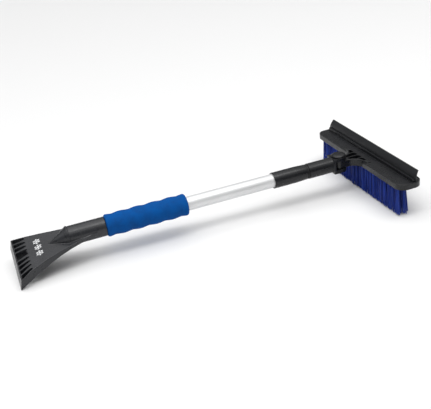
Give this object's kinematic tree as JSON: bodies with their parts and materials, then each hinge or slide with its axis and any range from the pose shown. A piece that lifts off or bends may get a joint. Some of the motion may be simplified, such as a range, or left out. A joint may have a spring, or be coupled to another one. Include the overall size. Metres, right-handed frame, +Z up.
{
  "type": "windshield ice scraper",
  "caption": "Snow brush with squeegee on a pivoting head, telescoping twist-lock pole with foam grip, and a ribbed ice scraper at the other end.",
  "frame": {"origin": "centre of the bounding box in plan, on the floor that the tool lies on", "axes": "+X along the pole from the scraper to the brush, raised 1.16 degrees at the brush end; +Y across the brush head; +Z up, away from the bristle tips"},
  "size_m": [0.6032, 0.266, 0.0746],
  "materials": {
    "charcoal_plastic": "fine-grained moulded charcoal plastic",
    "black_plastic": "black moulded plastic",
    "black_rubber": "smooth black rubber",
    "blue_foam": "matte royal blue closed-cell foam",
    "matte_aluminium": "matte silver anodised",
    "zinc_steel": "zinc plated",
    "blue_bristles": "deep blue synthetic bristles"
  },
  "bodies": {
    "handle": {"scraper_head": "charcoal_plastic", "socket_screw": "zinc_steel", "outer_tube": "matte_aluminium", "foam_grip": "blue_foam", "collet": "black_plastic"},
    "lock_collar": {"collar_nut": "charcoal_plastic"},
    "slider": {"guide_bush": "black_plastic"},
    "inner_pole": {"inner_tube": "matte_aluminium", "inner_end_plug": "black_plastic", "bumper_ring": "black_rubber", "pivot_housing": "charcoal_plastic", "housing_screw": "zinc_steel", "pivot_base_plug": "charcoal_plastic", "button_spring": "zinc_steel"},
    "button": {"push_button": "charcoal_plastic", "lock_plunger": "black_plastic"},
    "brush_head": {"brush_body": "charcoal_plastic", "squeegee_clip_strip": "charcoal_plastic", "squeegee_blade": "black_rubber", "bristle_row_1": "blue_bristles", "bristle_row_2": "blue_bristles", "bristle_row_3": "blue_bristles", "bristle_row_4": "blue_bristles"}
  },
  "joints": [
    {"name": "collar_twist", "type": "hinge", "parent": "handle", "child": "lock_collar", "pos_m": [0.01303, 0, 0.04891], "axis": [0.9998, 0, 0.0202], "range_deg": [0, 90]},
    {"name": "pole_extend", "type": "slide", "parent": "handle", "child": "slider", "axis": [0.9998, 0, 0.0202], "range_m": [0, 0.255]},
    {"name": "pole_turn", "type": "hinge", "parent": "slider", "child": "inner_pole", "pos_m": [0.01303, 0, 0.04891], "axis": [0.9998, 0, 0.0202], "continuous": true},
    {"name": "head_pivot", "type": "hinge", "parent": "inner_pole", "child": "brush_head", "pos_m": [0.23049, 0, 0.05331], "axis": [-0.0202, 0, 0.9998], "range_deg": [-90, 90]},
    {"name": "button_press", "type": "slide", "parent": "inner_pole", "child": "button", "axis": [0.0202, 0, -0.9998], "range_m": [0, 0.0035], "stiffness_N_per_m": 600, "deforming": ["button_spring"]}
  ]
}
